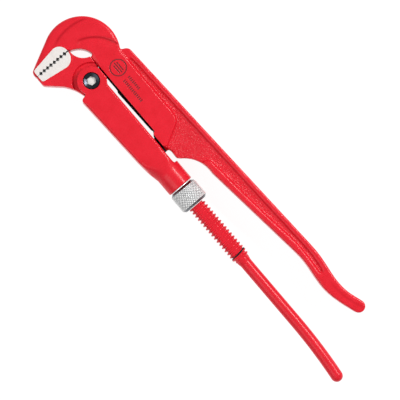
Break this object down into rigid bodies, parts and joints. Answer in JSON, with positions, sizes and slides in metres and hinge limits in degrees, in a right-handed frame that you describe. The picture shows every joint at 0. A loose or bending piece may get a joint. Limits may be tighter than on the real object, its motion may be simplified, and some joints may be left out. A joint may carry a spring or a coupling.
{
  "type": "pipe wrench",
  "caption": "Swedish-pattern pipe wrench with toothed jaws at right angles to the handles, a sliding sleeve set by a knurled nut on a threaded leg, and a long forged handle.",
  "frame": {"origin": "middle of the wrench's bounding box in plan, on the plane of its lower face as it lies flat", "axes": "+X along the sleeve and the threaded leg, from the jaws to the handle ends; +Y from the threaded leg towards the long leg; +Z out of the upper face"},
  "size_m": [0.3314, 0.076, 0.0228],
  "materials": {
    "red_enamel": "gloss enamel over forging",
    "ground_steel": "ground",
    "bright_nickel": "bright nickel plate",
    "black_steel": "black oxide"
  },
  "bodies": {
    "long_leg": {"long_leg": "red_enamel"},
    "threaded_leg": {"threaded_leg": "red_enamel", "stop_ring": "black_steel", "leg_hinge_pin": "ground_steel"},
    "sleeve": {"sleeve": "red_enamel", "pivot_bolt": "bright_nickel", "pivot_nut": "black_steel", "nut_snap_ring": "black_steel"},
    "nut": {"adjusting_nut": "bright_nickel"},
    "lower_jaw": {"lower_jaw": "red_enamel"}
  },
  "joints": [
    {"name": "handle_swing", "type": "hinge", "parent": "long_leg", "child": "threaded_leg", "pos_m": [-0.05008, -0.00888, 0.0114], "axis": [0, 0, 1], "range_deg": [0, 4]},
    {"name": "sleeve_slide", "type": "slide", "parent": "threaded_leg", "child": "sleeve", "axis": [1, 0, 0], "range_m": [0, 0.045]},
    {"name": "nut_spin", "type": "hinge", "parent": "sleeve", "child": "nut", "pos_m": [-0.00908, -0.00888, 0.0114], "axis": [1, 0, 0], "range_deg": [0, 5401]},
    {"name": "jaw_pivot", "type": "hinge", "parent": "sleeve", "child": "lower_jaw", "pos_m": [-0.11808, -0.00888, 0.0114], "axis": [0, 0, 1], "range_deg": [-4.01, 0]}
  ],
  "couplings": [
    {"joint": "nut_spin", "follows": "sleeve_slide", "rad_per_m": 2094.4},
    {"joint": "jaw_pivot", "follows": "handle_swing", "ratio": -1}
  ]
}
